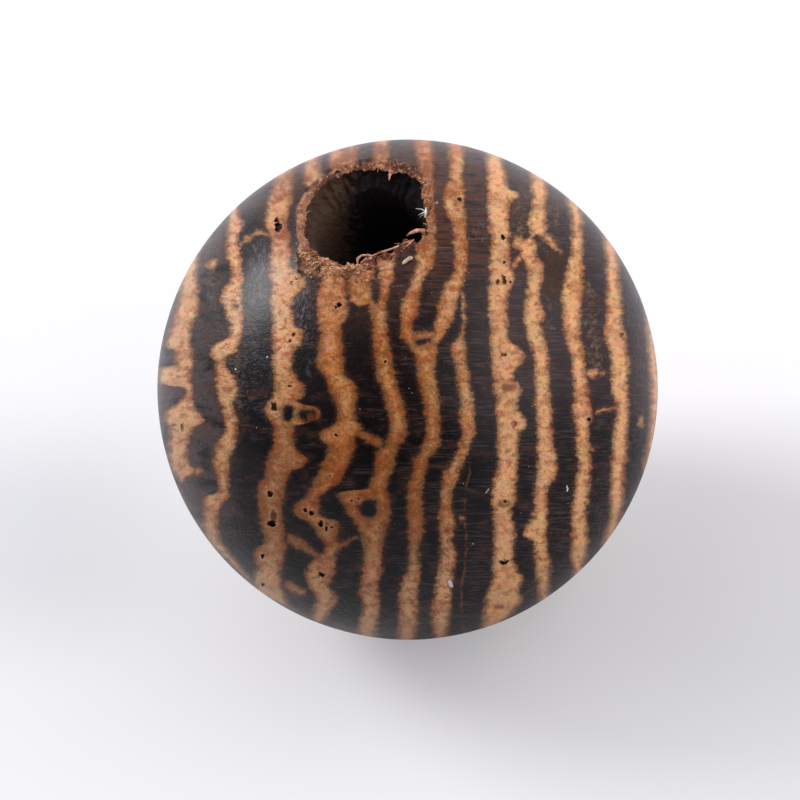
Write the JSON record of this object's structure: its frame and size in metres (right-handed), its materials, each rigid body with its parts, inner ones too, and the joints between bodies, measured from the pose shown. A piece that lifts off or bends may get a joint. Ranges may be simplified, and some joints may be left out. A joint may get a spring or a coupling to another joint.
{
  "type": "wooden bead",
  "caption": "Round turned wooden bead with dark and tan growth bands, drilled through for a cord, with a torn upper mouth.",
  "frame": {"origin": "centre of the ball, on the axis of the string hole", "axes": "+Z along the string hole, towards its torn mouth; -Y towards the face with the end grain; the bead stands on the ring round its lower mouth"},
  "size_m": [0.008, 0.008, 0.0077],
  "materials": {
    "wood": "thin satin lacquer over end grain in near-black and orange-tan bands, raw and rough where torn"
  },
  "bodies": {
    "root": {"bead": "wood"}
  },
  "joints": []
}
